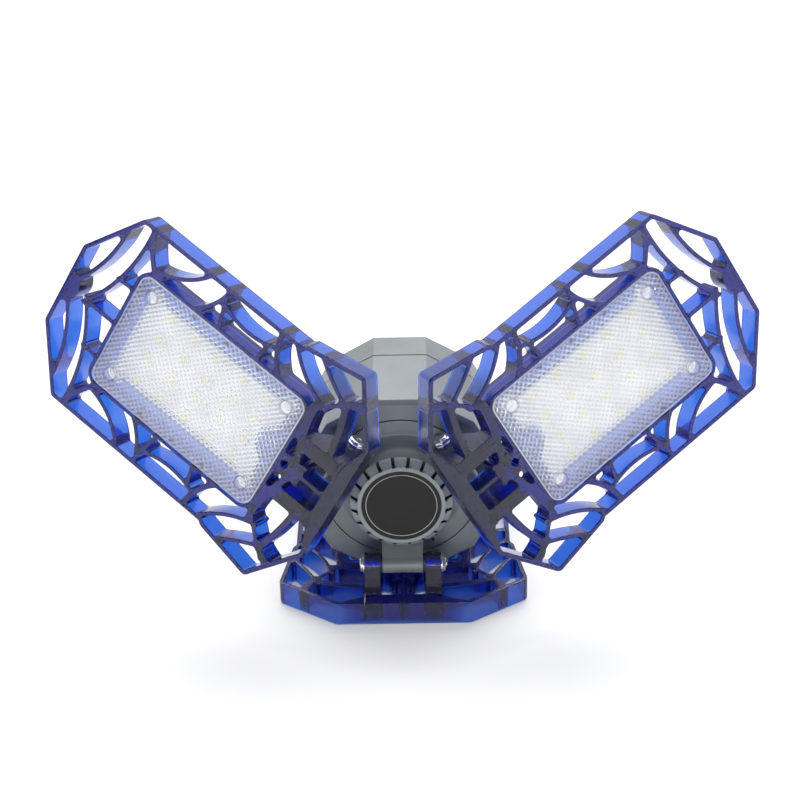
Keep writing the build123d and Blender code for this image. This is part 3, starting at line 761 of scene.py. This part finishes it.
def blue_plastic():
    """Clear plastic dyed deep blue: thin walls shine through and thick parts look nearly black."""
    finish = Finish("leaf_blue")
    vector = finish.place()
    grain = finish.skin(vector, size=1.2 * MM, cloud=20 * MM, depth=0.03 * MM, strength=0.4)
    tint = finish.clouded(grain, *BLUE_TINTS, CLOUD_RANGE)
    rough = finish.drifting(grain, low=0.14, high=0.20)
    rough = finish.scuffed(vector, amount=0.5, change=0.10, rough=rough)
    finish.set(base_color=tint, roughness=rough, ior=1.47, transmission_weight=0.955)
    dye = finish.add("VolumeAbsorption")
    dye.inputs["Color"].default_value = DYE_COLOUR
    dye.inputs["Density"].default_value = DYE_DENSITY
    finish.link(dye.outputs[0], finish.output.inputs["Volume"])
    finish.let_light_through(BLUE_SHADOW)
    return finish.material


# The label: black film with one pale ring

RING_RADIUS = 16.05 * MM
RING_RANGE = (0.12 * MM, 0.2 * MM)
RING_SHARE = 0.85
RING_PALE = (0.75, 0.75, 0.74, 1)
LABEL_BLACKS = ((0.009, 0.009, 0.008), (0.015, 0.014, 0.013))


def printed_label():
    """Black film with one fine pale ring printed near its edge."""
    finish = Finish("label_black")
    vector = finish.place(shift=(0, 0, -axis_height))
    split = finish.split(vector)
    radius = finish.length(split["X"], split["Z"])
    ring = finish.fade(finish.off(radius, RING_RADIUS), *RING_RANGE)
    grain = finish.skin(vector, size=0.3 * MM, cloud=12 * MM, depth=0.02 * MM, strength=0.4)
    black = finish.clouded(grain, *LABEL_BLACKS, CLOUD_RANGE)
    colour = finish.mix(finish.math("MULTIPLY", ring, RING_SHARE), black, RING_PALE)
    rough = finish.drifting(grain, low=0.34, high=0.46)
    finish.set(base_color=colour, roughness=rough, specular_ior_level=0.3)
    return finish.material


# The lens: clear acrylic, with painted shade where its prisms and hooks turn the light away

LENS_TINT = (0.95, 0.96, 0.98, 1)
DOT_SHADE = (0.32, 0.37, 0.48, 1)
MARK_SHADE = (0.10, 0.11, 0.16, 1)
MARK_SHARE = 0.65
LENS_SHADOW = (0.98, 0.98, 0.98, 1)


def clear_lens(side):
    """Clear moulded acrylic with a faint milkiness, as light is scattered in its prisms, painted shade
    in dots and marks, and a faint painted glow.
    """
    finish = Finish(side + "_lens_clear")
    vector = finish.place()
    finish.skin(vector, size=2 * MM, cloud=20 * MM, depth=0.01 * MM, strength=0.3)
    in_leaf = finish.place(leaf_place[side], shift=(-LENS_MIDDLE, 0, 0))
    shade = finish.group(prism_shade, vector=in_leaf)
    # Painted shade: dark dots for the prisms, stronger towards the edge, and dark marks round the screw
    # windows and at the hooks.
    colour = finish.mix(shade["Dots"], LENS_TINT, DOT_SHADE)
    colour = finish.mix(finish.math("MULTIPLY", shade["Marks"], MARK_SHARE), colour, MARK_SHADE)
    rough = finish.scuffed(vector, amount=0.5, change=0.06, rough=0.015)
    finish.set(base_color=colour, roughness=rough, ior=1.49, transmission_weight=0.8)
    # Painted light: the lens glows faintly in its own colour.
    finish.set(emission_color=colour, emission_strength=0.05)
    finish.let_light_through(LENS_SHADOW)
    return finish.material


# Metal and moulded parts


def plated(name, base, rough, tarnish=None):
    """Bright plated or bare metal with turning marks too fine to see singly."""
    finish = Finish(name)
    vector = finish.place()
    grain = finish.skin(vector, size=0.2 * MM, cloud=6 * MM, depth=0.01 * MM, strength=0.4)
    dull, bright = shades(base, darker=0.8, lighter=1.0)
    colour = finish.clouded(grain, tarnish or dull, bright, METAL_CLOUD_RANGE)
    roughness = finish.drifting(grain, low=rough * 1.5, high=rough)
    roughness = finish.scuffed(vector, amount=0.6, change=0.15, rough=roughness)
    finish.set(base_color=colour, metallic=1.0, roughness=roughness)
    return finish.material


def moulded(name, base, rough, size=0.6 * MM, coat=0.0, painted_glow=0.0):
    """Moulded plastic, rubber or a painted small part, some with a coat or a faint painted glow."""
    finish = Finish(name)
    grain = finish.skin(finish.place(), size, cloud=10 * MM, depth=0.03 * MM, strength=0.5)
    dark, light = shades(base, darker=0.82, lighter=1.1)
    colour = finish.clouded(grain, dark, light, SOFT_CLOUD_RANGE)
    roughness = finish.drifting(grain, low=rough * 0.9, high=min(1.0, rough * 1.12))
    finish.set(base_color=colour, roughness=roughness)
    if coat:
        finish.set(coat_weight=coat, coat_roughness=0.08)
    if painted_glow:
        finish.set(emission_color=colour, emission_strength=painted_glow)
    return finish.material


# Dressing the CAD nodes. A part's row has its material's name, colour and roughness.


def dress(material, *names):
    for name in names:
        mesh = nodes[name].data
        mesh.materials.clear()
        mesh.materials.append(material)


def dress_leaves(material, *kinds):
    for side in SIDES:
        dress(material, *[side + kind for kind in kinds])


PLAIN_PARTS = {
    "exit_grommets": ("grommet_grey", (0.24, 0.26, 0.27), 0.6),
    "base_leads": ("lead_red", (0.35, 0.02, 0.015), 0.45),
    "transformer": ("transformer_yellow", (0.55, 0.40, 0.05), 0.4),
    "bulk_capacitors": ("capacitor_black", (0.02, 0.025, 0.05), 0.3),
    "film_capacitor": ("film_yellow", (0.62, 0.42, 0.03), 0.35),
    "bridge_rectifier": ("rectifier_black", (0.018, 0.018, 0.02), 0.5),
    "line_fuse": ("fuse_glass", (0.6, 0.62, 0.6), 0.1),
    "terminal_block": ("terminal_green", (0.03, 0.22, 0.08), 0.4),
}
METAL_PARTS = {
    "housing_bolts": ("dark_steel", (0.10, 0.10, 0.11), 0.35),
    "centre_contact": ("contact_brass", (0.72, 0.55, 0.26), 0.25),
    "line_choke": ("choke_copper", (0.55, 0.22, 0.09), 0.3),
}

head_grey = grey_powder_coat("head_grey", (0.232, 0.257, 0.267), 0.5 * MM)
cap_grey = grey_powder_coat("cap_grey", (0.32, 0.355, 0.365), 0.4 * MM, slots=True)
bright_steel = plated("bright_steel", (0.78, 0.78, 0.80), 0.14)
collar_white = moulded("collar_white", (0.78, 0.77, 0.72), 0.35, coat=0.2)
insulator_black = moulded("insulator_black", (0.012, 0.012, 0.02), 0.12, coat=0.5)
circuit_green = moulded("circuit_green", (0.02, 0.13, 0.05), 0.35, size=2 * MM)
# Painted light: the board glows faintly though its chips are unlit, so it looks brighter under the lens.
board_white = moulded("board_white", (0.86, 0.88, 0.90), 0.35, painted_glow=0.32)
grommet_black = moulded("grommet_black", (0.022, 0.022, 0.024), 0.75)
washer_dark = moulded("washer_dark", (0.03, 0.03, 0.034), 0.5)

for node, values in PLAIN_PARTS.items():
    dress(moulded(*values), node)
for node, values in METAL_PARTS.items():
    dress(plated(*values), node)
dress(head_grey, "bell_cover", "main_housing", "rear_housing")
dress(cap_grey, "front_cap")
dress(printed_label(), "label_disc")
dress(bright_steel, "driver_screws")
dress(collar_white, "base_collar")
dress(insulator_black, "contact_insulator")
dress(circuit_green, "driver_board")
dress_leaves(bright_steel, "_hinge_bolt", "_hinge_nut", "_board_screws")
dress_leaves(grommet_black, "_lead_grommet")
dress_leaves(washer_dark, "_hinge_washers")
dress_leaves(board_white, "_led_board")
dress_leaves(blue_plastic(), "_leaf_frame")


# The scene's own pieces in place of CAD nodes


def stand_for(piece, body, node):
    """Hands a finished piece over: it rides on a body and stands for a CAD node."""
    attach(piece, body)
    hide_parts(node)


lens_clear = {side: clear_lens(side) for side in SIDES}
# Painted highlight: a whiter plastic on the lens's rim, for the bright line along its rounded edge.
lens_rim_highlight = moulded("lens_rim_highlight", (0.86, 0.88, 0.90), 0.4, size=0.3 * MM)
for side, lens in zip(SIDES, prism_lenses(lens_clear["left"], lens_rim_highlight)):
    lens.data.materials[0] = lens_clear[side]
    stand_for(lens, side + "_leaf", side + "_lens")

# Painted light: the chips glow faintly though they are unlit.
chip_white = moulded("chip_white", (0.84, 0.84, 0.80), 0.3, size=0.3 * MM, painted_glow=0.28)
chip_yellow = moulded("chip_yellow", (0.90, 0.86, 0.42), 0.25, size=0.2 * MM, painted_glow=0.34)
chip_solder = plated("chip_solder", (0.8, 0.8, 0.8), 0.3)
for side, chips in zip(SIDES, chip_rows(chip_white, chip_yellow, chip_solder)):
    stand_for(chips, side + "_leaf", side + "_led_chips")

base_nickel = plated("base_nickel", (0.74, 0.72, 0.68), 0.22, tarnish=(0.6, 0.56, 0.48))
shell = threaded_shell()
shell.data.materials.append(base_nickel)
stand_for(shell, "head", "screw_shell")


# Rounding the edges of the CAD pieces

ROUNDED_HEAD = {
    "front_cap": 0.25 * MM,
    "bell_cover": 0.3 * MM,
    "main_housing": 0.4 * MM,
    "rear_housing": 0.4 * MM,
    "base_collar": 0.3 * MM,
}
ROUNDED_LEAF = {
    "_leaf_frame": 0.35 * MM,
    "_hinge_bolt": 0.15 * MM,
    "_hinge_nut": 0.15 * MM,
    "_led_board": 0.12 * MM,
}
ROUNDED_ANGLE = radians(28)
ROUNDED_STEPS = 2
FACE_WEIGHT = 80


def soften(name, width):
    """Rounds a CAD piece's edges with live modifiers, and leaves its mesh as it is."""
    obj = nodes[name]
    weld = obj.modifiers.new("weld", "WELD")
    weld.merge_threshold = SAME_PLACE
    bevel = obj.modifiers.new("bevel", "BEVEL")
    bevel.width = width
    bevel.segments = ROUNDED_STEPS
    bevel.limit_method = "ANGLE"
    bevel.angle_limit = ROUNDED_ANGLE
    bevel.use_clamp_overlap = False
    bevel.miter_outer = "MITER_ARC"
    normals = obj.modifiers.new("normals", "WEIGHTED_NORMAL")
    normals.weight = FACE_WEIGHT


for name, width in ROUNDED_HEAD.items():
    soften(name, width)
for side in SIDES:
    for kind, width in ROUNDED_LEAF.items():
        soften(side + kind, width)


# Camera, fitted to the photograph's view of all three leaves. Angles are in radians.

CAMERA_TILT = 0.514597
CAMERA_DISTANCE = 0.9405
CAMERA_RIGHT = 0.00043
CAMERA_UP = 0.04772
CAMERA_YAW = -0.01209
CAMERA_ROLL = 0.022583
FOCAL_PIXELS = 2086
PHOTO_PIXELS = 800
SENSOR_WIDTH = 36
CAMERA_CLIP = (0.05, 50)


def place_camera():
    right = Vector((1, 0, 0))
    up = Vector((0, sin(CAMERA_TILT), cos(CAMERA_TILT)))
    ahead = Vector((0, cos(CAMERA_TILT), -sin(CAMERA_TILT)))
    stand = right * CAMERA_RIGHT + up * CAMERA_UP - ahead * CAMERA_DISTANCE
    rolled_right = right * cos(CAMERA_ROLL) - up * sin(CAMERA_ROLL)
    rolled_up = right * sin(CAMERA_ROLL) + up * cos(CAMERA_ROLL)
    yaw = Matrix.Rotation(-CAMERA_YAW, 3, "Z")
    turn = Matrix((yaw @ rolled_right, yaw @ rolled_up, yaw @ -ahead)).transposed()
    data = bpy.data.cameras.new("camera")
    data.sensor_width = SENSOR_WIDTH
    data.lens = SENSOR_WIDTH * FOCAL_PIXELS / PHOTO_PIXELS
    data.clip_start, data.clip_end = CAMERA_CLIP
    camera = bpy.data.objects.new("camera", data)
    bpy.context.scene.collection.objects.link(camera)
    target = Vector((0, label_front, axis_height))
    camera.matrix_world = Matrix.Translation(target + yaw @ stand) @ turn.to_4x4()
    bpy.context.scene.camera = camera


# Floor, world and lamps. The floor's ranges are distances from its middle, behind the lamp.

FLOOR_SIZE = 8
FLOOR_MIDDLE = (0, 0.6, 0)
FLOOR_GREYS = ((0.82, 0.82, 0.82), (0.86, 0.86, 0.86))
FLOOR_CLOUD_SCALE = 3.0
MIRRORED_FROM = (0.06, 0.3)
WHITEN_FROM = (0.4, 1.6)
WHITEN_BY = (0.3, 0.9)
WORLD_FRONT = 0.12
WORLD_BACK = 0.75
WORLD_TURN = (-0.55, 0.35)


def pale_floor():
    """White paper whose own brightness for the camera hides all but the near shadow."""
    deselect_all()
    bpy.ops.mesh.primitive_plane_add(size=FLOOR_SIZE, location=FLOOR_MIDDLE)
    floor = bpy.context.object
    floor.name = "floor"
    finish = Finish("floor_paper")
    vector = finish.place()
    cloud = finish.noise(vector, FLOOR_CLOUD_SCALE, detail=2.0)
    colour = finish.ramp(cloud, (CLOUD_RANGE[0], FLOOR_GREYS[0]), (CLOUD_RANGE[1], FLOOR_GREYS[1]))
    finish.set(base_color=colour, roughness=0.9, specular_ior_level=0.2)
    split = finish.split(vector)
    distance = finish.length(split["X"], split["Y"])
    paths = finish.add("LightPath").outputs
    mirrored = finish.math("MAXIMUM", paths["Is Transmission Ray"], paths["Is Glossy Ray"])
    mirrored = finish.math("MULTIPLY", mirrored, finish.step(distance, *MIRRORED_FROM))
    seen = finish.math("MAXIMUM", paths["Is Camera Ray"], mirrored)
    whiten = finish.step(distance, *WHITEN_FROM, *WHITEN_BY)
    finish.set(emission_color=(1, 1, 1), emission_strength=finish.math("MULTIPLY", seen, whiten))
    floor.data.materials.append(finish.material)


def studio_world():
    """White for the camera, and for other light bright behind the lamp and dim in front."""
    world = bpy.data.worlds.new("studio")
    bpy.context.scene.world = world
    world.use_nodes = True
    world.node_tree.nodes.clear()
    graph = Graph(world.node_tree)
    back = graph.split(graph.add("TexCoord").outputs["Generated"])["Y"]
    paths = graph.add("LightPath").outputs
    mirrored = graph.math("MULTIPLY", paths["Is Glossy Ray"], graph.step(back, *WORLD_TURN))
    seen = graph.math("MAXIMUM", paths["Is Camera Ray"], paths["Is Transmission Ray"])
    room = graph.step(back, *WORLD_TURN, WORLD_FRONT, WORLD_BACK)
    background = graph.add("Background")
    background.inputs["Color"].default_value = (1, 1, 1, 1)
    strength = graph.math("MAXIMUM", graph.math("MAXIMUM", seen, mirrored), room)
    graph.link(strength, background.inputs["Strength"])
    graph.link(background.outputs[0], graph.add("OutputWorld").inputs[0])


def softbox(name, at, aim, size, power):
    data = bpy.data.lights.new(name, "AREA")
    data.shape = "RECTANGLE"
    data.size, data.size_y = size
    data.energy = power
    lamp = bpy.data.objects.new(name, data)
    bpy.context.scene.collection.objects.link(lamp)
    lamp.location = at
    lamp.rotation_euler = (Vector(aim) - Vector(at)).to_track_quat("-Z", "Y").to_euler()


place_camera()
pale_floor()
studio_world()
softbox("top_softbox", at=(0.0, 0.6, 1.0), aim=(0, 0.05, 0.06), size=(1.4, 0.9), power=12.6)
softbox("front_low_softbox", at=(0.0, -1.3, 0.08), aim=(0, 0, 0.03), size=(0.8, 0.12), power=2.5)
softbox("left_softbox", at=(-1.0, -0.75, 0.5), aim=(-0.05, 0, 0.1), size=(0.5, 0.8), power=2.7)
softbox("right_softbox", at=(1.0, -0.75, 0.5), aim=(0.05, 0, 0.1), size=(0.5, 0.8), power=2.7)

bpy.context.scene.view_settings.view_transform = "Standard"
